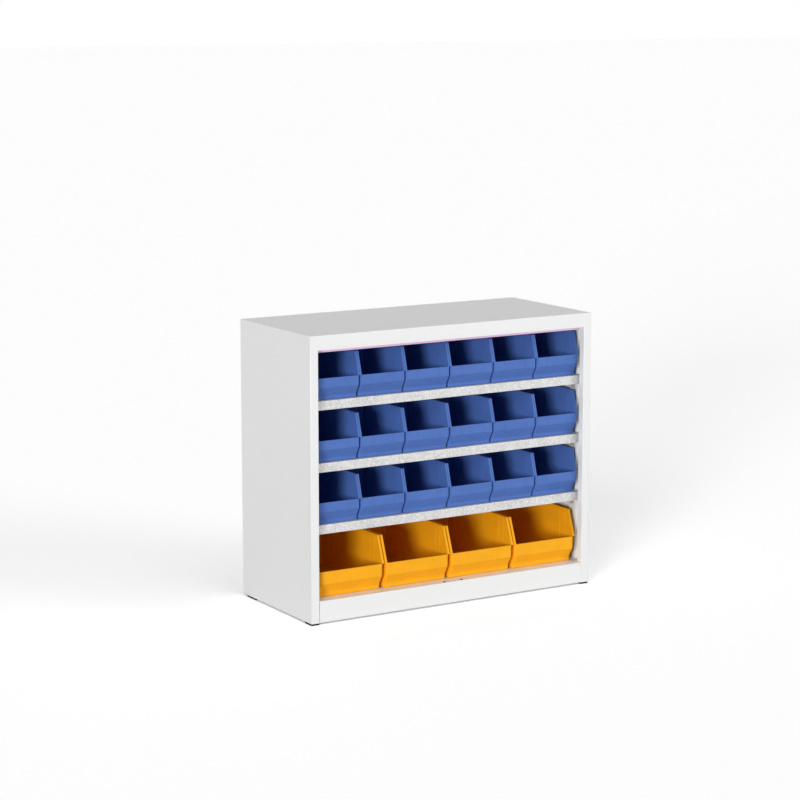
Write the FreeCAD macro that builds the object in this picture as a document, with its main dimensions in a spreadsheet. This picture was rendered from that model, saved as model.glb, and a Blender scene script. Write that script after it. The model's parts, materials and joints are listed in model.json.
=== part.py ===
import FreeCAD, Part
import os
import re

import Sketcher

# Bin shelving rack: a sheet steel cabinet, open in front, with a deck and three
# shelves that carry open-fronted plastic bins.
# Millimetres. X runs along the width, the front faces -Y, Z is up.
# The origin is under the middle of the rack, on the floor.

# Driving sizes
SIZES = {
    # Carcass
    "rack_width": 915,
    "rack_depth": 400,
    "rack_height": 790,
    "sheet": 1.0,
    "bend_radius": 2.0,
    "foot_height": 5,
    "stile_width": 25,
    "stile_return": 20,
    "stile_hem": 14,
    "rear_flange": 20,
    "floor_flange": 45,
    "fascia_height": 40,
    "fascia_hem": 14,
    "cap_skirt": 15,
    "tongue_height": 12,
    "tongue_inset": 60,
    "tongue_clearance": 0.3,
    "plinth_height": 60,
    "plinth_seam": 0.4,
    "deck_flange": 30,
    "panel_clearance": 0.3,
    # Holes in front of the deck and their plugs
    "plug_spacing": 57.2,
    "plug_setback": 10,
    "plug_bore": 8,
    "plug_head": 10,
    "plug_stem": 6,
    "plug_clearance": 0.1,
    "dimple_spacing": 85.2,
    "dimple_setback": 4.5,
    "dimple_bore": 2.6,
    "pin_hole_inset": 5,
    "pin_hole_setback": 8,
    "pin_hole_bore": 5,
    # Rivets of the back panel
    "rivet_edge": 10,
    "rivet_start": 80,
    "rivet_top_gap": 70,
    "rivet_count": 5,
    "rivet_bore": 3.2,
    "rivet_head": 6.5,
    "rivet_head_height": 0.8,
    "rivet_head_slope": 25,
    "rivet_bulb": 4.8,
    "rivet_bulb_height": 1.6,
    # Feet
    "foot_width": 24,
    "front_foot_length": 40,
    "rear_foot_length": 51,
    "rear_foot_inset": 24,
    "foot_edge_gap": 0.5,
    "foot_corner": 1.5,
    "peg_bore": 6,
    "peg_from_side": 12,
    "front_peg_setback": 30,
    "peg_barb": 8,
    "peg_barb_height": 2,
    # Header channel behind the fascia and the strip on its lower edge
    "channel_setback": 21.5,
    "channel_flange": 20,
    "strip_drop": 9,
    "strip_height": 11,
    "strip_wall": 1.2,
    "strip_end_gap": 0.5,
    # Slotted uprights
    "upright_sheet": 1.2,
    "upright_depth": 9,
    "upright_web": 30,
    "upright_flange": 12,
    "upright_top_gap": 30,
    "front_upright_setback": 70,
    "upright_spacing": 270,
    "first_slot_height": 98,
    "slot_pitch": 34,
    "slot_width": 3.5,
    "slot_height": 14,
    # Shelves
    "lower_shelf_slot": 4,
    "shelf_slot_step": 5,
    "shelf_sheet": 1.0,
    "shelf_setback": 28,
    "shelf_depth": 362,
    "shelf_side_gap": 1.5,
    "shelf_front": 25,
    "shelf_fold": 20,
    "shelf_hem": 12,
    "stiffener_width": 60,
    "stiffener_crown": 30,
    "stiffener_height": 18,
    "stiffener_end_gap": 0.3,
    # Shelf clips
    "clip_thickness": 1.5,
    "clip_width": 20,
    "clip_rise": 14,
    "clip_fall": 10,
    "clip_tab": 12,
    "hook_width": 2.5,
    "hook_rise": 5,
    "hook_fall": 12,
    "hook_clearance": 0.3,
    # All bins
    "bin_seat_gap": 0.3,
    "over_cut": 1,
    "corner_share": 0.6,
    "label_margin": 2,
    # Blue bins
    "blue_count": 6,
    "blue_width": 143,
    "blue_gap": 1.2,
    "blue_setback": 26,
    "blue_length": 230,
    "blue_height": 125,
    "blue_wall": 1.8,
    "blue_rim": 1.2,
    "blue_rim_depth": 4,
    "blue_lip_height": 61,
    "blue_slant": 18.6,
    "blue_mouth_bead": 1.5,
    "blue_band_foot": 35,
    "blue_band_proud": 0.8,
    "blue_crease_height": 1.2,
    "blue_crease_depth": 1.4,
    "blue_toe_recess": 15,
    "blue_toe_height": 10,
    "blue_toe_sweep": 14,
    "blue_side_draft": 0.8,
    "blue_back_draft": 2,
    "blue_corner": 4,
    "blue_floor_edge": 2.5,
    "blue_rest_depth": 4,
    "blue_joggle": 0.5,
    "blue_joggle_far": 50,
    "blue_joggle_near": 38,
    "blue_groove_place": 188,
    "blue_groove_width": 9,
    "blue_label_width": 66,
    "blue_label_rib": 3,
    "blue_label_proud": 0.5,
    "blue_hook_width": 60,
    "blue_hook_wall": 1.0,
    "blue_hook_height": 14,
    # Yellow bins
    "yellow_count": 4,
    "yellow_width": 210,
    "yellow_gap": 3.6,
    "yellow_setback": 22,
    "yellow_length": 350,
    "yellow_height": 148,
    "yellow_wall": 2.5,
    "yellow_rim": 2.2,
    "yellow_rim_depth": 3,
    "yellow_lip_height": 73.5,
    "yellow_slant": 28,
    "yellow_mouth_bead": 1.6,
    "yellow_band_foot": 39,
    "yellow_band_proud": 1.0,
    "yellow_crease_height": 1.5,
    "yellow_crease_depth": 2.2,
    "yellow_toe_recess": 17,
    "yellow_toe_height": 12,
    "yellow_toe_sweep": 20,
    "yellow_side_draft": 1.0,
    "yellow_back_draft": 3,
    "yellow_corner": 8.5,
    "yellow_floor_edge": 3.2,
    "yellow_rest_depth": 5.5,
    "yellow_joggle": 0.7,
    "yellow_joggle_far": 71,
    "yellow_joggle_near": 48,
    "yellow_groove_place": 288,
    "yellow_groove_width": 14,
    "yellow_label_width": 93,
    "yellow_label_rib": 5,
    "yellow_label_proud": 0.6,
    "yellow_hook_width": 90,
    "yellow_hook_wall": 1.2,
    "yellow_hook_height": 18,
}

# Places that many pieces share, as expressions on the sizes
FRONT = "-rack_depth / 2"
REAR = "(rack_depth / 2 - rivet_head_height)"
HALF = "rack_width / 2"
INNER = "(rack_width / 2 - sheet)"
OPENING = "(rack_width / 2 - stile_width)"
DECK = "(foot_height + plinth_height)"
FASCIA_FOOT = "(rack_height - fascia_height)"
SKIRT_FOOT = "(rack_height - cap_skirt)"
RETURN_BACK = f"({FRONT} + stile_return)"
UPRIGHT_WEB = f"({INNER} - upright_depth)"
SHELF_HALF = f"({UPRIGHT_WEB} - shelf_side_gap)"
FRONT_UPRIGHT = f"({FRONT} + front_upright_setback)"
REAR_UPRIGHT = f"({FRONT_UPRIGHT} + upright_spacing)"
SHELF_FRONT = f"({FRONT} + shelf_setback)"
STRIP_SEAT = f"({FASCIA_FOOT} - strip_drop + strip_wall)"
RIVET_X = f"({HALF} - rivet_edge)"
RIVET_PITCH = "(rack_height - rivet_top_gap - rivet_start) / (rivet_count - 1)"
FRONT_FOOT = f"({FRONT} + foot_edge_gap)"
REAR_FOOT = f"({REAR} - rear_foot_inset - rear_foot_length)"
FRONT_PEG = f"({FRONT} + front_peg_setback)"
REAR_PEG = f"({REAR_FOOT} + rear_foot_length / 2)"

NEAR = 0.01

doc = FreeCAD.newDocument("bin_shelving_rack")
sheet = doc.addObject("Spreadsheet::Sheet", "Sizes")
for row, (name, number) in enumerate(SIZES.items(), 1):
    sheet.set(f"A{row}", name)
    sheet.set(f"B{row}", str(number))
    sheet.setAlias(f"B{row}", name)
doc.recompute()

nodes = []


def bound(text):
    """Expression on the spreadsheet, from one that uses the plain names of the sizes."""
    return re.sub(r"[a-z_]+", lambda w: f"Sizes.{w[0]}" if w[0] in SIZES else w[0], str(text))


def value(text):
    """Number that an expression gives now."""
    return float(sheet.evalExpression(bound(text).replace("Sizes.", "")))


# Drawing helpers

def new_body(label):
    """Empty body that will be written as one node."""
    body = doc.addObject("PartDesign::Body", label)
    body.Label = label
    nodes.append(body)
    return body


def place(body, x="0", y="0", z="0"):
    """Tie a body's place to the sizes."""
    for axis, text in zip("xyz", (x, y, z)):
        body.setExpression(f"Placement.Base.{axis}", bound(text))


def clone(source, label, x="0", y="0", z="0"):
    """Another body with the source's shape, in its own place."""
    body = new_body(label)
    base = body.newObject("PartDesign::FeatureBase", label + "_base")
    base.BaseFeature = source
    body.Tip = base
    place(body, x, y, z)
    return body


def new_sketch(body, name, role, start):
    """Sketch on one of the body's origin planes, moved to start along the plane's positive axis."""
    sketch = body.newObject("Sketcher::SketchObject", name)
    plane = next(part for part in body.Origin.OriginFeatures if part.Role == role)
    sketch.AttachmentSupport = [(plane, "")]
    sketch.MapMode = "FlatFace"
    # The XZ plane's normal is -Y
    offset = f"-({start})" if role == "XZ_Plane" else start
    sketch.setExpression("AttachmentOffset.Base.z", bound(offset))
    return sketch


def tie_point(sketch, geometry, end, spot):
    """Hold a point of the sketch at a pair of expressions."""
    for kind, text in zip(("DistanceX", "DistanceY"), spot):
        rule = Sketcher.Constraint(kind, -1, 1, geometry, end, value(text))
        number = sketch.addConstraint(rule)
        sketch.setExpression(f"Constraints[{number}]", bound(text))


def draw(sketch, outline):
    """Closed outline through its points, or a circle given as (x, y, diameter)."""
    first = sketch.GeometryCount
    if isinstance(outline, tuple):
        x, y, diameter = outline
        centre = FreeCAD.Vector(value(x), value(y), 0)
        normal = FreeCAD.Vector(0, 0, 1)
        sketch.addGeometry(Part.Circle(centre, normal, value(diameter) / 2), False)
        tie_point(sketch, first, 3, (x, y))
        number = sketch.addConstraint(Sketcher.Constraint("Diameter", first, value(diameter)))
        sketch.setExpression(f"Constraints[{number}]", bound(diameter))
        return
    spots = [FreeCAD.Vector(value(x), value(y), 0) for x, y in outline]
    count = len(spots)
    for i in range(count):
        sketch.addGeometry(Part.LineSegment(spots[i], spots[(i + 1) % count]), False)
    for i in range(count):
        rule = Sketcher.Constraint("Coincident", first + i, 2, first + (i + 1) % count, 1)
        sketch.addConstraint(rule)
    for i in range(count):
        tie_point(sketch, first + i, 1, outline[i])


def box(x0, x1, y0, y1):
    """Rectangle as an outline."""
    return [(x0, y0), (x1, y0), (x1, y1), (x0, y1)]


def both_sides(outline):
    """An outline or circle and its mirror image across the middle of the rack."""
    if isinstance(outline, tuple):
        return [outline, (f"-({outline[0]})",) + outline[1:]]
    return [outline, [(f"-({x})", y) for x, y in outline]]


def extrude(body, kind, name, role, start, length, outlines):
    """Pad or Pocket of closed outlines, from start by length along the plane's positive axis."""
    before = body.Shape.Volume if body.Tip else 0
    sketch = new_sketch(body, name + "_sketch", role, start)
    for outline in outlines:
        draw(sketch, outline)
    feature = body.newObject("PartDesign::" + kind, name)
    feature.Profile = sketch
    feature.setExpression("Length", bound(length))
    feature.Reversed = (role == "XZ_Plane") == (kind == "Pad")
    doc.recompute()
    gained = body.Shape.Volume - before
    if (gained > 0) != (kind == "Pad") or gained == 0:
        raise RuntimeError(f"{body.Label}: {name} changed the volume by {gained}")
    return feature


def pad(body, name, role, start, length, *outlines):
    return extrude(body, "Pad", name, role, start, length, outlines)


def pocket(body, name, role, start, length, *outlines):
    return extrude(body, "Pocket", name, role, start, length, outlines)


def straight_edges(shape, axis, spots):
    """Names of the straight edges that run along an axis through any of the spots."""
    along = "XYZ".index(axis)
    across = [i for i in range(3) if i != along]
    wanted = [[value(text) for text in spot] for spot in spots]
    found = []
    for number, edge in enumerate(shape.Edges, 1):
        run = edge.Vertexes[-1].Point - edge.Vertexes[0].Point
        if run.Length < NEAR or abs(run[along]) < run.Length * (1 - NEAR * NEAR):
            continue
        middle = edge.CenterOfMass
        if any(all(abs(middle[i] - w) < NEAR for i, w in zip(across, spot)) for spot in wanted):
            found.append(f"Edge{number}")
    return found


def fillet(body, name, radius, edges):
    """Round the named edges of the body's last feature."""
    if not edges:
        raise RuntimeError(f"{body.Label}: {name} found no edge")
    base = body.Tip
    feature = body.newObject("PartDesign::Fillet", name)
    feature.Base = (base, edges)
    feature.setExpression("Radius", bound(radius))
    doc.recompute()
    return feature


def round_along(body, name, radius, axis, *spots):
    """Round the straight edges along an axis through the spots."""
    return fillet(body, name, radius, straight_edges(body.Tip.Shape, axis, spots))


def hollow(body, name, wall, open_faces):
    """Turn the solid into a shell of the wall's thickness, open at the given faces."""
    base = body.Tip
    feature = body.newObject("PartDesign::Thickness", name)
    feature.Base = (base, open_faces)
    feature.setExpression("Value", bound(wall))
    feature.Reversed = True
    feature.Join = "Intersection"
    doc.recompute()
    return feature


def faces_at(shape, test):
    """Names of the faces whose centre and outward normal pass a test."""
    found = []
    for number, face in enumerate(shape.Faces, 1):
        u0, u1, v0, v1 = face.ParameterRange
        normal = face.normalAt((u0 + u1) / 2, (v0 + v1) / 2)
        if test(face.CenterOfMass, normal):
            found.append(f"Face{number}")
    return found


def repeat(body, name, features, axis_role, pitch, count):
    """Copy features along an axis of the body, a pitch apart."""
    pattern = body.newObject("PartDesign::LinearPattern", name)
    pattern.Originals = features
    axis = next(part for part in body.Origin.OriginFeatures if part.Role == axis_role)
    pattern.Direction = (axis, [""])
    pattern.setExpression("Length", bound(f"({pitch}) * ({count} - 1)"))
    pattern.setExpression("Occurrences", bound(count))
    body.Tip = pattern
    doc.recompute()
    return pattern


def mirror(body, name, features):
    """Copy features to the other side of the body's middle."""
    feature = body.newObject("PartDesign::Mirrored", name)
    feature.Originals = features
    plane = next(part for part in body.Origin.OriginFeatures if part.Role == "YZ_Plane")
    feature.MirrorPlane = (plane, [""])
    body.Tip = feature
    doc.recompute()
    return feature


def edges_where(shape, test):
    """Names of the edges whose box of extents passes a test."""
    return [f"Edge{number}" for number, edge in enumerate(shape.Edges, 1) if test(edge.BoundBox)]


def facing(axis, sign):
    """Test for a face that looks along an axis."""
    return lambda centre, normal: sign * getattr(normal, axis) > 0.99


# Carcass

def make_top_cap():
    """Top with a deep front fascia, which has a return and a hem, and short skirts elsewhere."""
    body = new_body("top_cap")
    pad(body, "block", "XY_Plane", FASCIA_FOOT, "fascia_height", box(f"-{HALF}", HALF, FRONT, REAR))
    corners = [(x, y) for x in (HALF, f"-{HALF}") for y in (FRONT, REAR)]
    round_along(body, "corner_bends", "bend_radius", "Z", *corners)
    top = value("rack_height")
    edges = edges_where(body.Shape, lambda extent: extent.ZMin > top - NEAR)
    fillet(body, "top_bends", "bend_radius", edges)
    hollow(body, "shell", "sheet", faces_at(body.Shape, facing("z", -1)))
    pocket(body, "skirt_trim", "XY_Plane", FASCIA_FOOT, "fascia_height - cap_skirt",
           box(f"-{HALF} - over_cut", f"{HALF} + over_cut", f"{FRONT} + bend_radius", f"{REAR} + over_cut"))
    pad(body, "fascia_return", "XY_Plane", FASCIA_FOOT, "sheet",
        box(f"-{INNER}", INNER, f"{FRONT} + sheet / 2", RETURN_BACK))
    pad(body, "fascia_hem", "XY_Plane", FASCIA_FOOT, "fascia_hem",
        box(f"-{INNER}", INNER, f"{RETURN_BACK} - sheet", RETURN_BACK))
    return body


def make_side_panel(label, hand):
    """Side wall with its front stile, the stile's return and hem, and a rear flange."""
    def across(inset):
        return f"{hand} * (rack_width / 2 - ({inset}))"

    def plan(*points):
        return [(across(inset), y) for inset, y in points]

    body = new_body(label)
    pad(body, "section", "XY_Plane", "foot_height", f"{FASCIA_FOOT} - foot_height", plan(
        ("rear_flange", REAR),
        ("0", REAR),
        ("0", FRONT),
        ("stile_width", FRONT),
        ("stile_width", RETURN_BACK),
        ("stile_width - stile_hem", RETURN_BACK),
        ("stile_width - stile_hem", f"{RETURN_BACK} - sheet"),
        ("stile_width - sheet", f"{RETURN_BACK} - sheet"),
        ("stile_width - sheet", f"{FRONT} + sheet"),
        ("sheet", f"{FRONT} + sheet"),
        ("sheet", f"{REAR} - sheet"),
        ("rear_flange", f"{REAR} - sheet"),
    ))
    outer = [(across(inset), y) for inset, y in (("0", FRONT), ("stile_width", FRONT), ("0", REAR))]
    round_along(body, "outer_bends", "bend_radius", "Z", *outer)
    inner = [(across("sheet"), f"{FRONT} + sheet"), (across("stile_width - sheet"), f"{FRONT} + sheet"),
             (across("sheet"), f"{REAR} - sheet")]
    round_along(body, "inner_bends", "bend_radius - sheet", "Z", *inner)
    pad(body, "wall_top", "XY_Plane", FASCIA_FOOT, "fascia_height - cap_skirt", plan(
        ("0", f"{FRONT} + bend_radius"),
        ("sheet", f"{FRONT} + bend_radius"),
        ("sheet", f"{REAR} - bend_radius"),
        ("0", f"{REAR} - bend_radius"),
    ))
    pad(body, "flange_top", "XY_Plane", FASCIA_FOOT, "fascia_height - cap_skirt", plan(
        ("0", f"{REAR} - bend_radius"),
        ("sheet", f"{REAR} - bend_radius"),
        ("bend_radius", f"{REAR} - sheet"),
        ("rear_flange", f"{REAR} - sheet"),
        ("rear_flange", REAR),
        ("bend_radius", REAR),
    ))
    pad(body, "tongue", "XY_Plane", f"{SKIRT_FOOT} - tongue_height",
        "tongue_height + cap_skirt - bend_radius - tongue_clearance", plan(
            ("sheet", f"{FRONT} + tongue_inset"),
            ("2 * sheet", f"{FRONT} + tongue_inset"),
            ("2 * sheet", f"{REAR} - tongue_inset"),
            ("sheet", f"{REAR} - tongue_inset"),
        ))
    pad(body, "floor_flange", "XY_Plane", "foot_height", "sheet", plan(
        ("sheet / 2", RETURN_BACK),
        ("floor_flange", RETURN_BACK),
        ("floor_flange", f"{REAR} - sheet"),
        ("sheet / 2", f"{REAR} - sheet"),
    ))
    pegs = [(across("peg_from_side"), y, "peg_bore") for y in (FRONT_PEG, REAR_PEG)]
    pocket(body, "peg_holes", "XY_Plane", "foot_height - over_cut", "sheet + 2 * over_cut", *pegs)
    hole = pocket(body, "rivet_hole", "XZ_Plane", f"{REAR} - 2 * sheet", "3 * sheet",
                  (across("rivet_edge"), "rivet_start", "rivet_bore"))
    repeat(body, "rivet_holes", [hole], "Z_Axis", RIVET_PITCH, "rivet_count")
    return body


def make_base_deck():
    """Deck with its front plinth between the stiles and folds all round."""
    body = new_body("base_deck")
    plinth_half = f"({OPENING} - plinth_seam)"
    deck_front = f"({RETURN_BACK} + panel_clearance)"
    deck_back = f"({REAR} - 2 * sheet - panel_clearance)"
    pad(body, "deck", "XY_Plane", f"{DECK} - sheet", "sheet",
        box(f"-{INNER}", INNER, deck_front, deck_back))
    pad(body, "front_tongue", "XY_Plane", f"{DECK} - sheet", "sheet",
        box(f"-{plinth_half}", plinth_half, FRONT, deck_front))
    pad(body, "plinth", "XY_Plane", "foot_height", "plinth_height",
        box(f"-{plinth_half}", plinth_half, FRONT, f"{FRONT} + sheet"))
    pad(body, "plinth_return", "XY_Plane", "foot_height", "sheet",
        box(f"-{plinth_half}", plinth_half, FRONT, RETURN_BACK))
    folds = [(f"{side} * {INNER}", f"{side} * ({INNER} - sheet)") for side in (-1, 1)]
    pad(body, "side_folds", "XY_Plane", f"{DECK} - deck_flange", "deck_flange",
        *[box(outer, inner, deck_front, deck_back) for outer, inner in folds])
    pad(body, "rear_fold", "XY_Plane", f"{DECK} - deck_flange", "deck_flange",
        box(f"-{INNER}", INNER, f"{deck_back} - sheet", deck_back))
    round_along(body, "front_bends", "bend_radius", "X", (FRONT, DECK), (FRONT, "foot_height"))
    inner = [(f"{FRONT} + sheet", f"{DECK} - sheet"), (f"{FRONT} + sheet", "foot_height + sheet")]
    round_along(body, "inner_bends", "bend_radius - sheet", "X", *inner)
    holes = both_sides(("plug_spacing / 2", f"{FRONT} + plug_setback", "plug_bore"))
    holes += both_sides(("dimple_spacing / 2", f"{FRONT} + dimple_setback", "dimple_bore"))
    holes += both_sides((f"{OPENING} - pin_hole_inset", f"{FRONT} + pin_hole_setback", "pin_hole_bore"))
    pocket(body, "front_holes", "XY_Plane", f"{DECK} - sheet - over_cut", "sheet + 2 * over_cut", *holes)
    return body


def make_back_panel():
    """Flat sheet inside the rear flanges, clear of the bends."""
    body = new_body("back_panel")
    side = f"({HALF} - bend_radius - panel_clearance)"
    pad(body, "panel", "XZ_Plane", f"{REAR} - 2 * sheet", "sheet",
        box(f"-{side}", side, "foot_height + sheet", "rack_height - bend_radius - panel_clearance"))
    holes = both_sides((RIVET_X, "rivet_start", "rivet_bore"))
    hole = pocket(body, "rivet_hole", "XZ_Plane", f"{REAR} - 3 * sheet", "3 * sheet", *holes)
    repeat(body, "rivet_holes", [hole], "Z_Axis", RIVET_PITCH, "rivet_count")
    return body


def make_back_panel_rivets():
    """Blind rivets through the rear flanges and the back panel."""
    body = new_body("back_panel_rivets")
    panel_face = f"({REAR} - 2 * sheet)"

    def discs(diameter):
        return both_sides((RIVET_X, "rivet_start", diameter))

    stem = pad(body, "stem", "XZ_Plane", panel_face, "2 * sheet", *discs("rivet_bore"))
    head = pad(body, "head", "XZ_Plane", REAR, "rivet_head_height", *discs("rivet_head"))
    head.setExpression("TaperAngle", bound("-rivet_head_slope"))
    bulb = pad(body, "bulb", "XZ_Plane", f"{panel_face} - rivet_bulb_height", "rivet_bulb_height",
               *discs("rivet_bulb"))
    repeat(body, "rows", [stem, head, bulb], "Z_Axis", RIVET_PITCH, "rivet_count")
    return body


def make_header_channel():
    """Angle under the top, behind the fascia, which stiffens the opening."""
    body = new_body("header_channel")
    web = f"({FRONT} + channel_setback)"
    top = "(rack_height - sheet)"
    half = f"({HALF} - bend_radius)"
    pad(body, "angle", "YZ_Plane", f"-{half}", f"2 * {half}", [
        (web, STRIP_SEAT),
        (f"{web} + sheet", STRIP_SEAT),
        (f"{web} + sheet", f"{top} - sheet"),
        (f"{web} + channel_flange", f"{top} - sheet"),
        (f"{web} + channel_flange", top),
        (web, top),
    ])
    round_along(body, "bend", "bend_radius", "X", (web, top))
    return body


def make_buffer_strip():
    """Soft U-shaped strip pushed on the channel's lower edge."""
    body = new_body("buffer_strip")
    web = f"({FRONT} + channel_setback)"
    foot = f"({FASCIA_FOOT} - strip_drop)"
    top = f"({foot} + strip_height)"
    half = f"({HALF} - bend_radius - strip_end_gap)"
    pad(body, "section", "YZ_Plane", f"-{half}", f"2 * {half}", [
        (f"{web} - strip_wall", foot),
        (f"{web} + sheet + strip_wall", foot),
        (f"{web} + sheet + strip_wall", top),
        (f"{web} + sheet", top),
        (f"{web} + sheet", STRIP_SEAT),
        (web, STRIP_SEAT),
        (web, top),
        (f"{web} - strip_wall", top),
    ])
    edges = [(f"{web} - strip_wall", foot), (f"{web} + sheet + strip_wall", foot)]
    round_along(body, "lower_edges", "strip_wall", "X", *edges)
    return body


def make_foot(label, hand, start, length, peg):
    """Pad under a corner, with a barbed peg through the floor flange."""
    def across(inset):
        return f"{hand} * (rack_width / 2 - ({inset}))"

    body = new_body(label)
    pad(body, "pad", "XY_Plane", "0", "foot_height", box(
        across("foot_edge_gap"), across("foot_edge_gap + foot_width"), start, f"{start} + {length}"))
    corners = [(across(inset), y) for inset in ("foot_edge_gap", "foot_edge_gap + foot_width")
               for y in (start, f"{start} + {length}")]
    round_along(body, "corners", "foot_corner", "Z", *corners)
    centre = across("peg_from_side")
    pad(body, "peg", "XY_Plane", "foot_height", "sheet", (centre, peg, "peg_bore"))
    barb = pad(body, "barb", "XY_Plane", "foot_height + sheet", "peg_barb_height", (centre, peg, "peg_barb"))
    barb.setExpression("TaperAngle", bound("-rivet_head_slope"))
    return body


def make_lock_hole_plugs():
    """Pair of flat plugs in the holes at the middle of the deck's front, low enough for the bins."""
    body = new_body("lock_hole_plugs")
    place_of_plug = ("plug_spacing / 2", f"{FRONT} + plug_setback")
    pad(body, "heads", "XY_Plane", DECK, "bin_seat_gap - plug_clearance",
        *both_sides((*place_of_plug, "plug_head")))
    pad(body, "stems", "XY_Plane", f"{DECK} - plug_stem", "plug_stem",
        *both_sides((*place_of_plug, "plug_bore - 2 * plug_clearance")))
    return body


# Uprights and shelves

def make_upright(label, hand, middle):
    """Hat section against a side wall, with a column of slots for the clips."""
    body = new_body(label)
    web = UPRIGHT_WEB
    back = f"({web} + upright_sheet)"
    foot = f"({INNER} - upright_sheet)"
    crown = "upright_web / 2"
    leg = "(upright_web / 2 - upright_sheet)"
    edge = "(upright_web / 2 + upright_flange)"
    half = [(INNER, leg), (back, leg), (back, f"-{leg}"), (INNER, f"-{leg}"), (INNER, f"-{edge}"),
            (foot, f"-{edge}"), (foot, f"-{crown}"), (web, f"-{crown}"), (web, crown), (foot, crown),
            (foot, edge), (INNER, edge)]
    length = f"(rack_height - upright_top_gap - {DECK})"
    pad(body, "section", "XY_Plane", DECK, length, [(f"{hand} * {x}", f"{middle} + {y}") for x, y in half])
    start = web if hand > 0 else f"-{back}"
    slot = pocket(body, "slot", "YZ_Plane", f"{start} - over_cut", "upright_sheet + 2 * over_cut", box(
        f"{middle} - slot_width / 2", f"{middle} + slot_width / 2",
        "first_slot_height - slot_height / 2", "first_slot_height + slot_height / 2"))
    count = "floor((rack_height - upright_top_gap - slot_height - first_slot_height) / slot_pitch) + 1"
    repeat(body, "slots", [slot], "Z_Axis", "slot_pitch", count)
    return body


def shelf_level(step):
    """Height of a shelf's top face, from the slot that its clips hang in."""
    slot = f"(lower_shelf_slot + {step} * shelf_slot_step)"
    return f"(first_slot_height + {slot} * slot_pitch + clip_rise + shelf_fold)"


def make_shelf(label):
    """Shelf tray with its top face at Z = 0: deep front edge with a hem, folds elsewhere."""
    body = new_body(label)
    back = f"({SHELF_FRONT} + shelf_depth)"
    pad(body, "block", "XY_Plane", "-shelf_front", "shelf_front",
        box(f"-{SHELF_HALF}", SHELF_HALF, SHELF_FRONT, back))
    corners = [(x, y) for x in (SHELF_HALF, f"-{SHELF_HALF}") for y in (SHELF_FRONT, back)]
    round_along(body, "corner_bends", "bend_radius", "Z", *corners)
    edges = edges_where(body.Shape, lambda extent: extent.ZMin > -NEAR)
    fillet(body, "top_bends", "bend_radius", edges)
    hollow(body, "tray", "shelf_sheet", faces_at(body.Shape, facing("z", -1)))
    pocket(body, "fold_trim", "XY_Plane", "-shelf_front", "shelf_front - shelf_fold", box(
        f"-{SHELF_HALF} - over_cut", f"{SHELF_HALF} + over_cut",
        f"{SHELF_FRONT} + bend_radius", f"{back} + over_cut"))
    hem_half = f"({SHELF_HALF} - bend_radius)"
    pad(body, "front_hem", "XY_Plane", "-shelf_front", "shelf_sheet", box(
        f"-{hem_half}", hem_half, f"{SHELF_FRONT} + shelf_sheet / 2", f"{SHELF_FRONT} + shelf_hem"))
    return body


def make_stiffener(label):
    """Hat-shaped rail under the middle of a shelf, whose top face is at Z = 0."""
    body = new_body(label)
    middle = f"({SHELF_FRONT} + shelf_depth / 2)"
    half = f"({SHELF_HALF} - bend_radius - stiffener_end_gap)"
    top = "-shelf_sheet"
    low = f"({top} - stiffener_height)"
    edge = "stiffener_width / 2"
    crown = "stiffener_crown / 2"
    right = [(edge, top), (edge, f"{top} - shelf_sheet"), (crown, f"{top} - shelf_sheet"), (crown, low)]
    left = [(f"-{y}", z) for y, z in reversed(right)]
    inside = [(f"-({crown} - shelf_sheet)", top), (f"-({crown} - shelf_sheet)", f"{low} + shelf_sheet"),
              (f"({crown} - shelf_sheet)", f"{low} + shelf_sheet"), (f"({crown} - shelf_sheet)", top)]
    section = [(f"{middle} + {y}", z) for y, z in right + left + inside]
    pad(body, "section", "YZ_Plane", f"-{half}", f"2 * {half}", section)
    return body


def make_shelf_clips(label):
    """Four clips that hook in the uprights' slots, for a shelf whose top face is at Z = 0."""
    body = new_body(label)
    seat = "(-shelf_fold)"
    slot = f"({seat} - clip_rise)"
    face = UPRIGHT_WEB
    leg = f"({face} - clip_thickness)"
    behind = f"({face} + upright_sheet + hook_clearance)"
    angle = [
        (f"{leg} - clip_tab", seat),
        (f"{leg} - clip_tab", f"{seat} - clip_thickness"),
        (leg, f"{seat} - clip_thickness"),
        (leg, f"{slot} - clip_fall"),
        (face, f"{slot} - clip_fall"),
        (face, seat),
    ]
    hook = [
        (f"{face} - clip_thickness / 2", f"{slot} + hook_rise"),
        (f"{face} - clip_thickness / 2", f"{slot} - hook_rise"),
        (behind, f"{slot} - hook_rise"),
        (behind, f"{slot} - hook_fall"),
        (f"{behind} + clip_thickness", f"{slot} - hook_fall"),
        (f"{behind} + clip_thickness", f"{slot} + hook_rise"),
    ]
    tabs = pad(body, "tabs", "XZ_Plane", f"{FRONT_UPRIGHT} - clip_width / 2", "clip_width",
               *both_sides(angle))
    hooks = pad(body, "hooks", "XZ_Plane", f"{FRONT_UPRIGHT} - hook_width / 2", "hook_width",
                *both_sides(hook))
    repeat(body, "rear_pair", [tabs, hooks], "Y_Axis", "upright_spacing", "2")
    return body


# Bins

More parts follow.
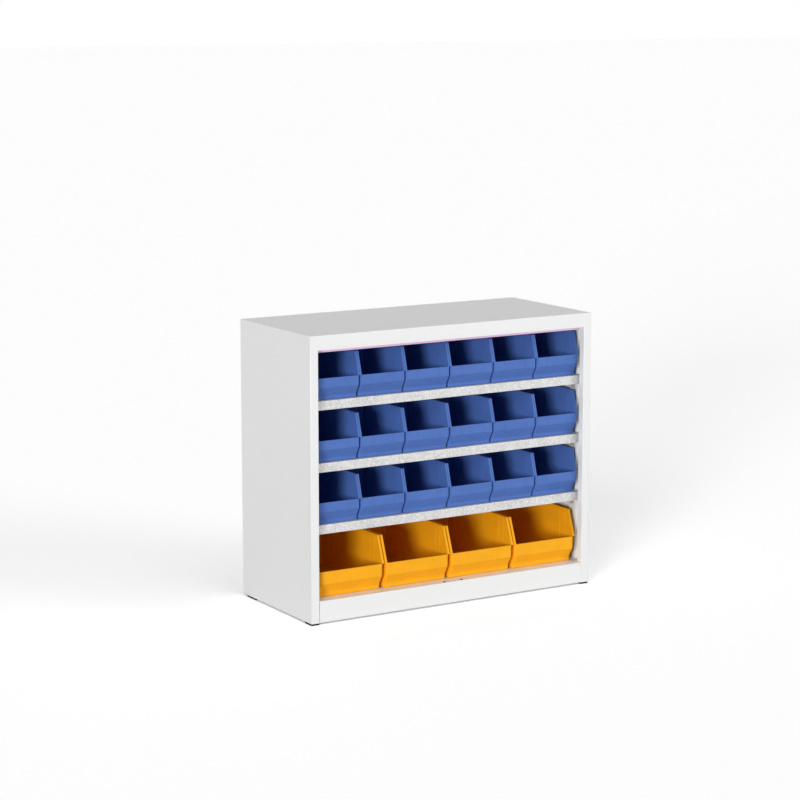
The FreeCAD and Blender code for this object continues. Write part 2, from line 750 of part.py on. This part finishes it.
def make_bin(label, kind):
    """Open-fronted bin of one kind: lip at Y = 0, underside at Z = 0, middle at X = 0."""
    def own(text):
        return text.replace("@", kind + "_")

    wall_out = own("(@width / 2 - @rim)")
    wall_in = own("(@width / 2 - @rim - @wall)")
    rim_root = own("(@width / 2 - @rim - @wall / 2)")
    back_out = own("(@length - @rim)")
    back_root = own("(@length - @rim - @wall / 2)")
    back_foot = own(f"({back_out} - @back_draft)")
    face = own("@band_proud")
    floor_half = own(f"({wall_out} - @side_draft)")
    rise = own("(@height - @lip_height)")
    rim_run = own(f"(@rim_depth * sqrt(@slant^2 + {rise}^2) / {rise})")
    body = new_body(label)

    # Tapered block, cut to a recessed toe, a slanted mouth and a leaning back
    pad(body, "block", "XZ_Plane", face, f"{back_out} - {face}", [
        (f"-{floor_half}", "0"),
        (floor_half, "0"),
        (wall_out, own("@height")),
        (f"-{wall_out}", own("@height")),
    ])
    toe = [
        (f"{face} - over_cut", "-over_cut"),
        (own("@toe_recess"), "-over_cut"),
        (own("@toe_recess"), own("@toe_height")),
        (face, own("@band_foot")),
        (f"{face} - over_cut", own("@band_foot")),
    ]
    mouth = [
        (f"{face} - over_cut", own("@lip_height")),
        (face, own("@lip_height")),
        (own(f"@slant + {face}"), own("@height")),
        (own(f"@slant + {face}"), own("@height + over_cut")),
        (f"{face} - over_cut", own("@height + over_cut")),
    ]
    back = [
        (back_foot, "-over_cut"),
        (f"{back_out} + over_cut", "-over_cut"),
        (f"{back_out} + over_cut", own("@height")),
        (back_out, own("@height")),
        (back_foot, "0"),
    ]
    pocket(body, "side_view", "YZ_Plane", f"-{wall_out}", f"2 * {wall_out}", toe, mouth, back)

    # Swept toe, rounded corners and floor edge
    sweep = [(own("@toe_recess"), own("@toe_height")), (face, own("@band_foot"))]
    round_along(body, "toe_sweep", own("@toe_sweep"), "X", *sweep)
    toe_y = value(own("@toe_recess"))
    lip = value(own("@lip_height"))
    taper = value(own("@side_draft"))

    def is_corner(extent):
        beside = max(-extent.XMin, extent.XMax) > value(floor_half) - NEAR
        upright = extent.XLength < taper + NEAR and extent.ZLength > NEAR
        in_front = extent.YMax < toe_y + NEAR and extent.ZMax < lip + NEAR
        return beside and upright and (in_front or extent.YMin > value(back_foot) - NEAR)

    fillet(body, "corners", own("@corner"), edges_where(body.Shape, is_corner))
    fillet(body, "floor_edge", own("@floor_edge"),
           edges_where(body.Shape, lambda extent: extent.ZMax < NEAR))

    # Shell, open at the top and the mouth, with the front wall cut level at the lip
    def is_opening(centre, normal):
        return centre.z > lip and normal.z > 0.1 and abs(normal.x) < 0.1

    hollow(body, "shell", own("@wall"), faces_at(body.Shape, is_opening))
    pocket(body, "level_lip", "XZ_Plane", "0", own(f"{face} + @wall + @corner"),
           box(f"-{wall_in}", wall_in, own("@lip_height"), own("@height + over_cut")))

    # Inner side walls: two joggles behind the mouth, a groove near the back, a ledge for the bin above
    def inner_wall(depth, low):
        taper_left = own(f"@side_draft * (1 - ({low}) / @height)")
        return both_sides([
            (own(f"{wall_in} - @wall"), low),
            (f"{wall_in} - {taper_left} + {depth}", low),
            (f"{wall_in} + {depth}", own("@height")),
            (f"{wall_in} + {depth}", own("@height + over_cut")),
            (own(f"{wall_in} - @wall"), own("@height + over_cut")),
        ])

    near_front = own(f"{face} + @corner")
    joggle_foot = own("@band_foot + @floor_edge")
    pocket(body, "far_joggle", "XZ_Plane", near_front, own(f"@joggle_far - ({near_front})"),
           *inner_wall(own("@joggle"), joggle_foot))
    pocket(body, "near_joggle", "XZ_Plane", near_front, own(f"@joggle_near - ({near_front})"),
           *inner_wall(own("2 * @joggle"), joggle_foot))
    pocket(body, "rear_groove", "XZ_Plane", own("@groove_place"), own("@groove_width"),
           *inner_wall(own("@joggle"), joggle_foot))
    pocket(body, "rest_ledge", "XZ_Plane", own(f"{face} + @slant"),
           own(f"{back_out} - @wall - @corner - {face} - @slant"),
           *inner_wall(own("2 * @joggle"), own("@height - @rest_depth")))

    # Outward rim round the top and down the mouth's edges, where a bead thickens it inwards
    cut = own("@corner * corner_share")
    mouth_top = own(f"(@slant + {face})")
    pad(body, "top_rim", "XY_Plane", own("@height - @rim_depth"), own("@rim_depth"), [
        (own("-@width / 2"), mouth_top),
        (f"-{rim_root}", mouth_top),
        (f"-{rim_root}", f"{back_root} - {cut}"),
        (f"-{rim_root} + {cut}", back_root),
        (f"{rim_root} - {cut}", back_root),
        (rim_root, f"{back_root} - {cut}"),
        (rim_root, mouth_top),
        (own("@width / 2"), mouth_top),
        (own("@width / 2"), own("@length")),
        (own("-@width / 2"), own("@length")),
    ])
    bead_in = own(f"({wall_in} - @mouth_bead)")
    mouth_rim = pad(body, "mouth_rim", "YZ_Plane", bead_in, own(f"@width / 2 - {bead_in}"), [
        (face, own("@lip_height")),
        (f"{face} + {rim_run}", own("@lip_height")),
        (f"{mouth_top} + {rim_run}", own("@height")),
        (mouth_top, own("@height")),
    ])
    mirror(body, "other_mouth_rim", [mouth_rim])
    rear = [(own("@width / 2"), own("@length")), (own("-@width / 2"), own("@length"))]
    round_along(body, "rear_rim_corners", own("@corner"), "Z", *rear)
    pad(body, "rear_hook", "XZ_Plane", own("@length - @hook_wall"), own("@hook_wall"), box(
        own("-@hook_width / 2"), own("@hook_width / 2"),
        own("@height - @hook_height"), own("@height - @rim_depth / 2")))

    # Raised band on the front with a crease under it, and the two ribs that hold a label
    band_half = own(f"({wall_out} - @corner)")
    pad(body, "band", "XZ_Plane", "0", own(f"{face} + @wall / 2"),
        box(f"-{band_half}", band_half, own("@band_foot"), own("@lip_height")))
    pocket(body, "crease", "XZ_Plane", "0", own(f"{face} + @crease_depth"),
           box(f"-{band_half}", band_half, own("@band_foot - @crease_height"), own("@band_foot")))
    rib = box(own("@label_width / 2"), own("@label_width / 2 + @label_rib"),
              own("@band_foot + label_margin"), own("@lip_height - label_margin"))
    pad(body, "label_ribs", "XZ_Plane", own("-@label_proud"), own("@label_proud"), *both_sides(rib))
    return body


def bin_row(kind, label, level, source=None):
    """Row of equal bins, evenly spaced, that copy the source or else the row's own first bin."""
    for number in range(SIZES[f"{kind}_count"]):
        name = f"{label}_{number + 1}"
        spot = (f"({number} - ({kind}_count - 1) / 2) * ({kind}_width + {kind}_gap)",
                f"{FRONT} + {kind}_setback", f"{level} + bin_seat_gap")
        if source:
            clone(source, name, *spot)
        else:
            source = make_bin(name, kind)
            place(source, *spot)
    return source


# The rack

make_top_cap()
make_side_panel("left_side_panel", -1)
make_side_panel("right_side_panel", 1)
make_base_deck()
make_back_panel()
make_back_panel_rivets()
make_header_channel()
make_buffer_strip()
make_lock_hole_plugs()
for side, hand in (("left", -1), ("right", 1)):
    make_foot(f"front_{side}_foot", hand, FRONT_FOOT, "front_foot_length", FRONT_PEG)
    make_foot(f"rear_{side}_foot", hand, REAR_FOOT, "rear_foot_length", REAR_PEG)
    make_upright(f"front_{side}_upright", hand, FRONT_UPRIGHT)
    make_upright(f"rear_{side}_upright", hand, REAR_UPRIGHT)

for part, make in (("shelf", make_shelf), ("shelf_stiffener", make_stiffener),
                   ("shelf_clips", make_shelf_clips)):
    first = make(f"lower_{part}")
    place(first, z=shelf_level(0))
    clone(first, f"middle_{part}", z=shelf_level(1))
    clone(first, f"upper_{part}", z=shelf_level(2))

bin_row("yellow", "yellow_bin", DECK)
blue_bin = bin_row("blue", "lower_blue_bin", shelf_level(0))
bin_row("blue", "middle_blue_bin", shelf_level(1), blue_bin)
bin_row("blue", "upper_blue_bin", shelf_level(2), blue_bin)

# Check every object, then write each node
doc.recompute()
for item in doc.Objects:
    if "Invalid" in item.State or "Error" in item.State:
        raise RuntimeError(f"{item.Label} failed: {item.State}")
os.makedirs("parts", exist_ok=True)
for body in nodes:
    shape = body.Shape
    if shape.isNull() or not shape.isValid():
        raise RuntimeError(f"{body.Label} has no valid shape")
for body in nodes:
    body.Shape.exportStep(f"parts/{body.Label}.step")
print(f"{len(nodes)} nodes written")
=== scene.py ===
import json
import math

import bpy
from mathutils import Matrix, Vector


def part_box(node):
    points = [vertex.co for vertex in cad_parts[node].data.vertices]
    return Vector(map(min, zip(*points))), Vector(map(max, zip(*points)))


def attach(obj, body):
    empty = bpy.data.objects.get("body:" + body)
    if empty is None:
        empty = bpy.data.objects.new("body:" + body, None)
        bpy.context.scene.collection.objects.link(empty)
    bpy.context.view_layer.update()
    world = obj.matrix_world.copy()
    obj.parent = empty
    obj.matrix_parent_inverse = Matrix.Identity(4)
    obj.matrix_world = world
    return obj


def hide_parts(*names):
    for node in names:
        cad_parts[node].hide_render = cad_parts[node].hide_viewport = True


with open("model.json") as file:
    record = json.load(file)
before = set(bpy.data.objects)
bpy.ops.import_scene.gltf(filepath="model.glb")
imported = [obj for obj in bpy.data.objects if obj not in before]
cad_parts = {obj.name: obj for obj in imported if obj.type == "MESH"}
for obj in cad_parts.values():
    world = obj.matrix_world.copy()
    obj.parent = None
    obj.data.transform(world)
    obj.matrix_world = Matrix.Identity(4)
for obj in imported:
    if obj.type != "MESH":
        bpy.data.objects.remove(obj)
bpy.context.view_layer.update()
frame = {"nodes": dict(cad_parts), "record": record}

MM = 0.001

# Colours, linear
WHITE_COAT = (0.825, 0.832, 0.826)
ZINC_LIGHT = (0.74, 0.74, 0.735)
ZINC_DARK = (0.47, 0.47, 0.465)
RIVET_METAL = (0.74, 0.74, 0.75)
BLUE = (0.078, 0.165, 0.48)
YELLOW = (0.93, 0.41, 0.007)
BLACK = (0.012, 0.012, 0.013)
PINK = (0.82, 0.55, 0.78)

# Softened edges of the frame's nodes
SHEET_EDGE = 0.25 * MM
MOULDED_EDGE = 0.35 * MM
EDGE_STEPS = 2
EDGE_ANGLE = math.radians(28)
FLAT_ANGLE = math.radians(0.6)
WELD_REACH = 0.002 * MM

# Blind rivets, placed where the frame has its plain ones
RIVETS_LOW, RIVETS_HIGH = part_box("back_panel_rivets")
RIVET_COUNT = 5
RIVET_SPACING = 160 * MM
RIVET_HEAD_RADIUS = 3.25 * MM
RIVET_SIZES = {
    "Side": RIVETS_HIGH.x - RIVET_HEAD_RADIUS,
    "Rear Face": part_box("right_side_panel")[1].y,
    "First Height": (RIVETS_LOW.z + RIVETS_HIGH.z - RIVET_SPACING * (RIVET_COUNT - 1)) / 2,
    "Spacing": RIVET_SPACING,
    "Count": RIVET_COUNT,
    "Grip": 2 * MM,
    "Head Radius": RIVET_HEAD_RADIUS,
    "Head Height": 0.78 * MM,
    "Core Radius": 0.95 * MM,
    "Shank Radius": 1.6 * MM,
    "Bulb Radius": 2.4 * MM,
    "Bulb Height": 1.6 * MM,
}
RIVET_TURN = math.radians(-90)
DRUM_SIDES = 28
DOME_POWER = 2.4
DOME_FALL = 0.62
HOLLOW_START = 0.8
HOLLOW_END = 1.15
HOLLOW_DEPTH = 0.55
BULB_PINCH = 0.3

# Camera and stage
CAMERA_PLACE = (-3.4839, -5.6411, 1.696)
CAMERA_TURN = math.radians(31.275)
CAMERA_DIP = math.radians(9.812)
CAMERA_LEVEL = math.radians(90)
CAMERA_LENS = 107.022
CAMERA_SENSOR = 36
CAMERA_REACH = 500
FLOOR_REACH = 60
FLOOR_PALE = 0.6
FLOOR_SHOWN = 1.56
FLOOR_LIFT = 0.11
SKY_LEVEL = 0.2
SKY_SHOWN = 1.0

# Name, degrees to the right of straight in front, degrees up, strength, spread in degrees
SOFT_LIGHTS = [
    ("key_low", -50, 3, 2.45, 16),
    ("key_high", -50, 28, 0.42, 25),
    ("fill_right", 40, 8, 1.22, 30),
    ("overhead", 0, 80, 0.6, 70),
]


def connect(tree, node, inputs):
    """Give a node's inputs their values, or link the outputs that feed them."""
    for key, value in inputs.items():
        for source in value if isinstance(value, list) else [value]:
            if isinstance(source, bpy.types.NodeSocket):
                tree.links.new(source, node.inputs[key])
            else:
                node.inputs[key].default_value = source


def add_node(tree, kind, inputs=None, **settings):
    node = tree.nodes.new(kind)
    for key, value in settings.items():
        setattr(node, key, value)
    connect(tree, node, inputs or {})
    return node


def add_object(name, content):
    added = bpy.data.objects.new(name, content)
    bpy.context.scene.collection.objects.link(added)
    return added


# Finishes

class Finish:
    """Lays out the nodes of one material."""

    # Sockets of the node that mixes two colours
    SHARE, FIRST, SECOND, RESULT = 0, 6, 7, 2

    def __init__(self, name):
        self.material = bpy.data.materials.new(name)
        self.material.use_nodes = True
        self.tree = self.material.node_tree
        self.shader = self.tree.nodes["Principled BSDF"]
        self.place = self.node("TexCoord").outputs["Object"]

    def node(self, kind, inputs=None, **settings):
        return add_node(self.tree, "ShaderNode" + kind, inputs, **settings)

    def noise(self, size, detail=2.0, roughness=0.5, fineness=(1, 1, 1)):
        """Noise with grains about size metres across, divided by the fineness along each axis."""
        place = self.node("Mapping", {"Vector": self.place, "Scale": fineness}).outputs[0]
        return self.node("TexNoise", {"Vector": place, "Scale": 1 / size, "Detail": detail,
                                      "Roughness": roughness}).outputs["Fac"]

    def spread(self, value, low=0.0, high=1.0, start=0.3, end=0.7):
        """Value that goes from low to high while the given one goes from start to end."""
        return self.node("MapRange", {"Value": value, "From Min": start, "From Max": end,
                                      "To Min": low, "To Max": high}).outputs[0]

    def blend(self, share, first, second):
        """Colour between two, each of them three numbers or another blend."""
        first, second = [(*colour, 1) if isinstance(colour, tuple) else colour
                         for colour in (first, second)]
        mixed = self.node("Mix", {self.SHARE: share, self.FIRST: first, self.SECOND: second},
                          data_type="RGBA")
        return mixed.outputs[self.RESULT]

    def relief(self, height, depth, strength, under=None):
        """Surface relief of depth metres, on top of the relief under it."""
        inputs = {"Height": height, "Distance": depth, "Strength": strength}
        if under:
            inputs["Normal"] = under
        return self.node("Bump", inputs).outputs[0]

    def done(self, inputs):
        """The material, once its shader has these inputs."""
        connect(self.tree, self.shader, inputs)
        return self.material


def shade(colour, factor):
    return tuple(channel * factor for channel in colour)


def powder_coat():
    """White powder coat: fine orange peel and a very faint unevenness."""
    coat = Finish("white_powder_coat")
    tone = coat.spread(coat.noise(220 * MM, detail=3))
    peel = coat.relief(coat.noise(1.6 * MM, detail=1.5, roughness=0.4), depth=0.06 * MM, strength=0.7)
    grain = coat.relief(coat.noise(0.5 * MM, detail=1), depth=0.015 * MM, strength=0.6, under=peel)
    return coat.done({
        "Base Color": coat.blend(tone, shade(WHITE_COAT, 0.985), WHITE_COAT),
        "Roughness": coat.spread(coat.noise(6 * MM), low=0.38, high=0.46),
        "Specular IOR Level": 0.4,
        "Normal": grain,
    })


def galvanised():
    """Hot-dip galvanised sheet: small flat crystals, each with its own tone and gloss."""
    zinc = Finish("galvanised_sheet")
    drift = zinc.node("TexNoise", {"Vector": zinc.place, "Scale": 1 / (6.25 * MM), "Detail": 2.0})
    warped = zinc.node("MixRGB", {"Fac": 3.5 * MM, "Color1": zinc.place, "Color2": drift.outputs["Color"]},
                       blend_type="ADD").outputs[0]
    crystals = zinc.node("TexVoronoi", {"Vector": warped, "Scale": 1 / (4.2 * MM)}).outputs["Color"]
    flakes = zinc.node("TexVoronoi", {"Vector": warped, "Scale": 1 / (1.7 * MM)}).outputs["Color"]
    tone = zinc.node("SeparateColor", {"Color": crystals}).outputs[0]
    fleck = zinc.node("SeparateColor", {"Color": flakes}).outputs[1]
    both = zinc.node("Math", {0: tone, 1: fleck}, operation="MULTIPLY").outputs[0]
    spangle = zinc.blend(zinc.spread(both, start=0, end=0.7), ZINC_DARK, ZINC_LIGHT)
    cloud = zinc.spread(zinc.noise(45 * MM, detail=3), high=0.35)
    facets = zinc.relief(tone, depth=0.02 * MM, strength=0.5)
    grain = zinc.relief(zinc.noise(0.9 * MM), depth=0.02 * MM, strength=0.5, under=facets)
    return zinc.done({
        "Base Color": zinc.blend(cloud, spangle, ZINC_LIGHT),
        "Metallic": 0.25,
        "Roughness": zinc.spread(fleck, low=0.38, high=0.54, start=0, end=1),
        "Normal": grain,
    })


def rivet_metal():
    """Bright aluminium of the blind rivets, brushed a little by the setting tool."""
    metal = Finish("rivet_metal")
    marks = metal.noise(0.35 * MM, detail=3)
    tone = metal.spread(metal.noise(2 * MM))
    return metal.done({
        "Base Color": metal.blend(tone, shade(RIVET_METAL, 0.88), RIVET_METAL),
        "Metallic": 0.85,
        "Roughness": metal.spread(marks, low=0.32, high=0.46),
        "Normal": metal.relief(marks, depth=0.012 * MM, strength=0.6),
    })


def moulded(name, colour, scuff):
    """Injection-moulded polypropylene: fine spark-eroded grain and faint flow marks."""
    plastic = Finish(name)
    flow = plastic.spread(plastic.noise(60 * MM, fineness=(1, 0.5, 2)))
    waves = plastic.relief(plastic.noise(9 * MM, detail=1), depth=0.05 * MM, strength=0.4)
    grain = plastic.relief(plastic.noise(0.55 * MM), depth=0.035 * MM, strength=0.7, under=waves)
    return plastic.done({
        "Base Color": plastic.blend(flow, shade(colour, 0.95), scuff),
        "Roughness": plastic.spread(plastic.noise(3 * MM), low=0.52, high=0.6),
        "Specular IOR Level": 0.2,
        "Normal": grain,
    })


def rubber():
    """Matt black rubber with a fine dusty grain."""
    black = Finish("black_rubber")
    dust = black.spread(black.noise(5 * MM, detail=4), start=0.45, end=0.75)
    return black.done({
        "Base Color": black.blend(dust, BLACK, shade(BLACK, 2)),
        "Roughness": black.spread(dust, low=0.75, high=0.9, start=0, end=1),
        "Specular IOR Level": 0.12,
        "Normal": black.relief(black.noise(0.6 * MM), depth=0.06 * MM, strength=0.8),
    })


def strip_plastic():
    """Soft pale pink strip, drawn through a die: faint lines along its length."""
    strip = Finish("pink_strip")
    lines = strip.noise(0.8 * MM, fineness=(0.02, 1, 1))
    return strip.done({
        "Base Color": strip.blend(strip.spread(strip.noise(50 * MM)), shade(PINK, 0.97), PINK),
        "Roughness": strip.spread(lines, low=0.42, high=0.5),
        "Normal": strip.relief(lines, depth=0.03 * MM, strength=0.6),
    })


def soften(node, edge):
    """Merge a node's loose triangles, round its sharp edges and shade it smoothly."""
    weld = node.modifiers.new("weld", "WELD")
    weld.merge_threshold = WELD_REACH
    flat = node.modifiers.new("flat_faces", "DECIMATE")
    flat.decimate_type = "DISSOLVE"
    flat.angle_limit = FLAT_ANGLE
    bevel = node.modifiers.new("edges", "BEVEL")
    bevel.width = edge
    bevel.segments = EDGE_STEPS
    bevel.limit_method = "ANGLE"
    bevel.angle_limit = EDGE_ANGLE
    bevel.use_clamp_overlap = True
    bevel.harden_normals = True


def dress(node, finish, edge):
    node.data.materials.clear()
    node.data.materials.append(finish)
    soften(node, edge)


FINISHES = {
    "white_paint": (powder_coat(), SHEET_EDGE),
    "galvanised_steel": (galvanised(), SHEET_EDGE),
    "blue_plastic": (moulded("blue_polypropylene", BLUE, shade(BLUE, 1.04)), MOULDED_EDGE),
    "yellow_plastic": (moulded("yellow_polypropylene", YELLOW, shade(YELLOW, 1.02)), MOULDED_EDGE),
    "black_rubber": (rubber(), SHEET_EDGE),
    "pink_strip": (strip_plastic(), SHEET_EDGE),
}
for part in frame["record"]["subparts"]:
    dress(frame["nodes"][part["node"]], *FINISHES[part["material_slot"]])


# Rivets

class Form:
    """Lays out one geometry tree with named inputs."""

    def __init__(self, name, sizes):
        self.tree = bpy.data.node_groups.new(name, "GeometryNodeTree")
        self.tree.interface.new_socket("Geometry", in_out="OUTPUT", socket_type="NodeSocketGeometry")
        for key, value in sizes.items():
            kind = "NodeSocketInt" if isinstance(value, int) else "NodeSocketFloat"
            self.tree.interface.new_socket(key, in_out="INPUT", socket_type=kind)
        self.sizes = self.node("NodeGroupInput").outputs
        self.end = self.node("NodeGroupOutput")

    def node(self, kind, inputs=None, **settings):
        return add_node(self.tree, kind, inputs, **settings)

    def math(self, operation, *values):
        return self.node("ShaderNodeMath", dict(enumerate(values)), operation=operation).outputs[0]

    def times(self, product, *factors):
        for factor in factors:
            product = self.math("MULTIPLY", product, factor)
        return product

    def vector(self, x=0.0, y=0.0, z=0.0):
        return self.node("ShaderNodeCombineXYZ", {0: x, 1: y, 2: z}).outputs[0]

    def drum(self, radius, depth, bands, rings):
        """Upright drum, its wall cut in bands and its ends in rings."""
        drum = self.node("GeometryNodeMeshCylinder", {"Vertices": DRUM_SIDES, "Side Segments": bands,
                                                      "Fill Segments": rings, "Radius": radius,
                                                      "Depth": depth}, fill_type="TRIANGLE_FAN")
        return drum.outputs["Mesh"]

    def lifted(self, mesh, z):
        return self.node("GeometryNodeTransform", {"Geometry": mesh,
                                                   "Translation": self.vector(z=z)}).outputs[0]


def rivet_head(form):
    """Domed head, thin at its rim, with the sunk end of the snapped pin in the middle."""
    radius, height, core = [form.sizes[name] for name in ("Head Radius", "Head Height", "Core Radius")]
    drum = form.drum(radius, height, bands=1, rings=12)
    place = form.node("GeometryNodeInputPosition").outputs[0]
    z = form.node("ShaderNodeSeparateXYZ", {0: place}).outputs[2]
    flat = form.node("ShaderNodeVectorMath", {0: place, 1: (1, 1, 0)}, operation="MULTIPLY").outputs[0]
    out = form.node("ShaderNodeVectorMath", {0: flat}, operation="LENGTH").outputs["Value"]
    share = form.math("DIVIDE", out, radius)
    dome = form.times(form.math("POWER", share, DOME_POWER), DOME_FALL, height)
    hollow = form.node("ShaderNodeMapRange", {"Value": out, "From Min": form.times(core, HOLLOW_START),
                                              "From Max": form.times(core, HOLLOW_END),
                                              "To Min": HOLLOW_DEPTH, "To Max": 0.0},
                       interpolation_type="SMOOTHSTEP").outputs[0]
    drop = form.math("ADD", dome, form.times(hollow, height))
    upper = form.math("GREATER_THAN", z, 0.0)
    shaped = form.node("GeometryNodeSetPosition", {"Geometry": drum, "Selection": upper,
                                                   "Offset": form.vector(z=form.times(drop, -1.0))})
    return form.lifted(shaped.outputs[0], form.times(height, 0.5))


def rivet_bulb(form):
    """Bulb that the pin has drawn up behind the sheets."""
    radius, height = form.sizes["Bulb Radius"], form.sizes["Bulb Height"]
    drum = form.drum(radius, height, bands=8, rings=4)
    place = form.node("GeometryNodeInputPosition").outputs[0]
    x, y, z = form.node("ShaderNodeSeparateXYZ", {0: place}).outputs
    level = form.math("DIVIDE", form.times(z, 2.0), height)
    pinch = form.times(form.math("POWER", form.math("ABSOLUTE", level), 2.0), BULB_PINCH)
    keep = form.math("SUBTRACT", 1.0, pinch)
    round_place = form.vector(form.times(x, keep), form.times(y, keep), z)
    shaped = form.node("GeometryNodeSetPosition", {"Geometry": drum, "Position": round_place}).outputs[0]
    below = form.math("ADD", form.sizes["Grip"], form.times(height, 0.5))
    return form.lifted(shaped, form.times(below, -1.0))


def rivet_tree(sizes, material):
    """Rows of blind rivets up both edges of the back panel."""
    form = Form("blind_rivets", sizes)
    shank = form.lifted(form.drum(form.sizes["Shank Radius"], form.sizes["Grip"], bands=1, rings=2),
                        form.times(form.sizes["Grip"], -0.5))
    pieces = [rivet_head(form), shank, rivet_bulb(form)]
    rivet = form.node("GeometryNodeJoinGeometry", {0: pieces}).outputs[0]
    columns = []
    for side in (-1.0, 1.0):
        foot = form.vector(form.times(form.sizes["Side"], side), form.sizes["Rear Face"],
                           form.sizes["First Height"])
        column = form.node("GeometryNodeMeshLine", {"Count": form.sizes["Count"], "Start Location": foot,
                                                    "Offset": form.vector(z=form.sizes["Spacing"])},
                           mode="OFFSET")
        columns.append(column.outputs[0])
    places = form.node("GeometryNodeJoinGeometry", {0: columns}).outputs[0]
    turn = form.node("FunctionNodeEulerToRotation", {0: (RIVET_TURN, 0, 0)}).outputs[0]
    rows = form.node("GeometryNodeInstanceOnPoints", {"Points": places, "Instance": rivet,
                                                      "Rotation": turn})
    real = form.node("GeometryNodeRealizeInstances", {"Geometry": rows.outputs[0]}).outputs[0]
    smooth = form.node("GeometryNodeSetShadeSmooth", {"Geometry": real}).outputs[0]
    finish = form.node("GeometryNodeSetMaterial", {"Geometry": smooth, "Material": material}).outputs[0]
    connect(form.tree, form.end, {"Geometry": finish})
    return form.tree


def grow(name, tree, sizes):
    """Plain mesh object that a geometry tree makes at the given sizes."""
    piece = add_object(name, bpy.data.meshes.new(name))
    maker = piece.modifiers.new("maker", "NODES")
    maker.node_group = tree
    for socket in tree.interface.items_tree:
        if socket.in_out == "INPUT":
            maker[socket.identifier] = sizes[socket.name]
    grown = piece.evaluated_get(bpy.context.evaluated_depsgraph_get())
    mesh = bpy.data.meshes.new_from_object(grown)
    piece.modifiers.clear()
    piece.data = mesh
    return piece


rivets = grow("blind_rivets", rivet_tree(RIVET_SIZES, rivet_metal()), RIVET_SIZES)
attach(rivets, "cabinet")
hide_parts("back_panel_rivets")


# Floor, light and camera

def shown_rays(tree):
    """1 for the camera's rays and those that it sees in metal or glass, 0 for all others."""
    rays = add_node(tree, "ShaderNodeLightPath").outputs
    shown = rays["Is Camera Ray"]
    for kind in ("Is Glossy Ray", "Is Transmission Ray"):
        shown = add_node(tree, "ShaderNodeMath", {0: shown, 1: rays[kind]}, operation="MAXIMUM").outputs[0]
    return shown


def floor_finish():
    """Pale floor that keeps the object's shadow and shows nearly white to the camera."""
    floor = Finish("studio_floor")
    pale = floor.node("BsdfDiffuse", {"Color": (FLOOR_PALE, FLOOR_PALE, FLOOR_PALE, 1)})
    clear = floor.node("BsdfDiffuse", {"Color": (FLOOR_SHOWN, FLOOR_SHOWN, FLOOR_SHOWN, 1)})
    lift = floor.node("Emission", {"Color": (1, 1, 1, 1), "Strength": FLOOR_LIFT})
    shown = floor.node("AddShader", {0: clear.outputs[0], 1: lift.outputs[0]})
    both = floor.node("MixShader", {0: shown_rays(floor.tree), 1: pale.outputs[0], 2: shown.outputs[0]})
    connect(floor.tree, floor.tree.nodes["Material Output"], {"Surface": both.outputs[0]})
    floor.tree.nodes.remove(floor.shader)
    return floor.material


def add_floor():
    mesh = bpy.data.meshes.new("floor")
    reach = FLOOR_REACH
    corners = [(-reach, -reach, 0), (reach, -reach, 0), (reach, reach, 0), (-reach, reach, 0)]
    mesh.from_pydata(corners, [], [(0, 1, 2, 3)])
    mesh.materials.append(floor_finish())
    add_object("floor", mesh)


def add_sun(name, azimuth, height, strength, spread):
    """Wide soft light that comes from an azimuth and a height."""
    light = bpy.data.lights.new(name, "SUN")
    light.energy = strength
    light.angle = math.radians(spread)
    right, up = math.radians(azimuth), math.radians(height)
    source = Vector((math.sin(right) * math.cos(up), -math.cos(right) * math.cos(up), math.sin(up)))
    add_object(name, light).rotation_euler = source.to_track_quat("Z", "Y").to_euler()


def add_world():
    """White sky that lights the object less than it shows."""
    world = bpy.data.worlds.new("studio")
    bpy.context.scene.world = world
    world.use_nodes = True
    tree = world.node_tree
    level = add_node(tree, "ShaderNodeMapRange", {"Value": shown_rays(tree), "To Min": SKY_LEVEL,
                                                  "To Max": SKY_SHOWN})
    connect(tree, tree.nodes["Background"], {"Color": (1, 1, 1, 1), "Strength": level.outputs[0]})


def add_camera():
    lens = bpy.data.cameras.new("camera")
    lens.lens = CAMERA_LENS
    lens.sensor_width = CAMERA_SENSOR
    lens.clip_end = CAMERA_REACH
    camera = add_object("camera", lens)
    camera.location = CAMERA_PLACE
    camera.rotation_euler = (CAMERA_LEVEL - CAMERA_DIP, 0, -CAMERA_TURN)
    bpy.context.scene.camera = camera


add_floor()
add_world()
for soft_light in SOFT_LIGHTS:
    add_sun(*soft_light)
add_camera()
bpy.context.scene.view_settings.view_transform = "Standard"
